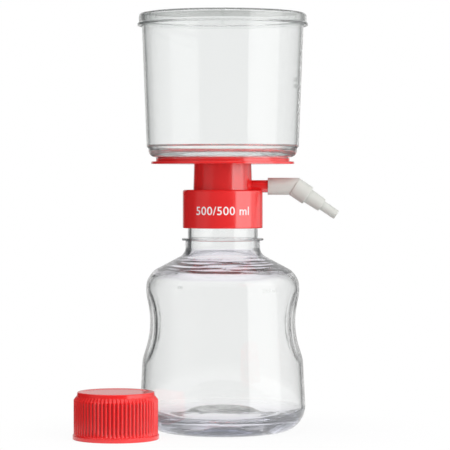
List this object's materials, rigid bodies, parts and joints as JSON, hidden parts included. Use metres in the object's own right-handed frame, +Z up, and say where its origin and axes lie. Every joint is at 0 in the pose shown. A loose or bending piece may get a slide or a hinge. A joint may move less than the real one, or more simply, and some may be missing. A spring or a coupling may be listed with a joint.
{
  "type": "vacuum filtration unit",
  "caption": "Clear graduated funnel with lid on a threaded filter head with a swivelling hose connector, over a grip-sided receiver bottle with its screw cap beside it.",
  "frame": {"origin": "centre of the ring that the bottle stands on, at its lower face", "axes": "+Z up along the axis of bottle, head and funnel; +X towards the hose connector"},
  "size_m": [0.1617, 0.1223, 0.2576],
  "materials": {
    "clear_plastic": "gloss",
    "red_plastic": "satin",
    "natural_plastic": "satin",
    "membrane_white": "matte",
    "fleece_white": "matte",
    "seal_rubber": "satin",
    "liner_white": "satin"
  },
  "bodies": {
    "receiver": {"bottle": "clear_plastic", "cap": "red_plastic", "cap_liner": "liner_white"},
    "seal_ring": {"neck_seal": "seal_rubber"},
    "filter_head": {"filter_base": "red_plastic", "funnel": "clear_plastic", "membrane": "membrane_white", "membrane_support": "fleece_white", "port_filter_plug": "fleece_white"},
    "lid_body": {"lid": "clear_plastic"},
    "connector": {"hose_connector": "natural_plastic"}
  },
  "joints": [
    {"name": "head_rise", "type": "slide", "parent": "receiver", "child": "seal_ring", "axis": [0, 0, 1], "range_m": [0, 0.006]},
    {"name": "head_turn", "type": "hinge", "parent": "seal_ring", "child": "filter_head", "pos_m": [0, 0, 0.147], "axis": [0, 0, 1], "range_deg": [0, 540]},
    {"name": "lid_lift", "type": "slide", "parent": "filter_head", "child": "lid_body", "axis": [0, 0, 1], "range_m": [0, 0.05]},
    {"name": "connector_swivel", "type": "hinge", "parent": "filter_head", "child": "connector", "pos_m": [0.034, 0, 0.1512], "axis": [1, 0, 0], "continuous": true}
  ],
  "couplings": [
    {"joint": "head_rise", "follows": "head_turn", "m_per_rad": 0.00063662}
  ]
}
